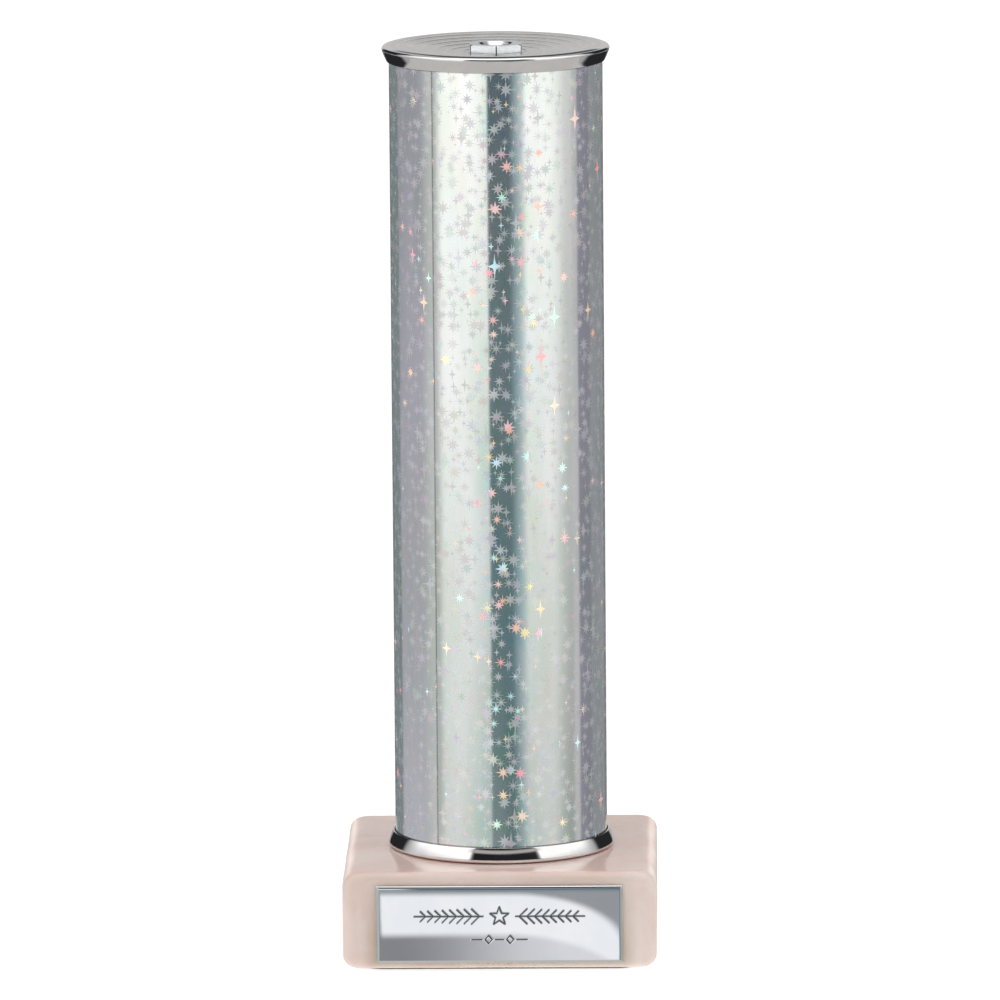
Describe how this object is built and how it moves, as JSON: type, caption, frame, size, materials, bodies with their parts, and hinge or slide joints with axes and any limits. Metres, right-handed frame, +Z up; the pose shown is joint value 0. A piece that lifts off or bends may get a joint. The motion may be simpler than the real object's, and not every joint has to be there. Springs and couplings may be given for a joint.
{
  "type": "column trophy",
  "caption": "Column trophy: a film-wrapped tube between two flared chromed caps on a polished marble block with an engraving plate; a tie-rod nut on top takes a topper's stud.",
  "frame": {"origin": "on the column's axis, on the underside of the felt pad, which is the plane the trophy stands on", "axes": "+Z up along the column, -Y out of the engraving plate, +X to the right seen from the plate's side"},
  "size_m": [0.0614, 0.0621, 0.1788],
  "materials": {
    "marble": "polished pale pink marble",
    "felt": "dark felt",
    "chrome": "bright plated",
    "tube_core": "moulded white styrene",
    "film": "silver holographic star film",
    "zinc_steel": "bright zinc plate",
    "tape": "double-sided foam tape",
    "plate_metal": "bright rolled"
  },
  "bodies": {
    "base": {"marble_base": "marble", "base_pad": "felt", "engraving_plate": "plate_metal", "plate_tape": "tape", "tie_rod": "zinc_steel", "base_nut": "zinc_steel", "base_washer": "zinc_steel"},
    "column": {"lower_cap": "chrome", "column_tube": "tube_core", "film_wrap": "film", "upper_cap": "chrome"},
    "captive_washer": {"captive_washer": "zinc_steel"},
    "top_nut": {"top_nut": "zinc_steel"}
  },
  "joints": [
    {"name": "column_turn", "type": "hinge", "parent": "base", "child": "column", "pos_m": [0, 0, 0], "axis": [0, 0, 1], "continuous": true},
    {"name": "nut_rise", "type": "slide", "parent": "base", "child": "captive_washer", "axis": [0, 0, 1], "range_m": [0, 0.004]},
    {"name": "top_nut_turn", "type": "hinge", "parent": "captive_washer", "child": "top_nut", "pos_m": [0, 0, 0.1742], "axis": [0, 0, 1], "range_deg": [0, 1440]}
  ],
  "couplings": [
    {"joint": "top_nut_turn", "follows": "nut_rise", "rad_per_m": 6283.2}
  ]
}
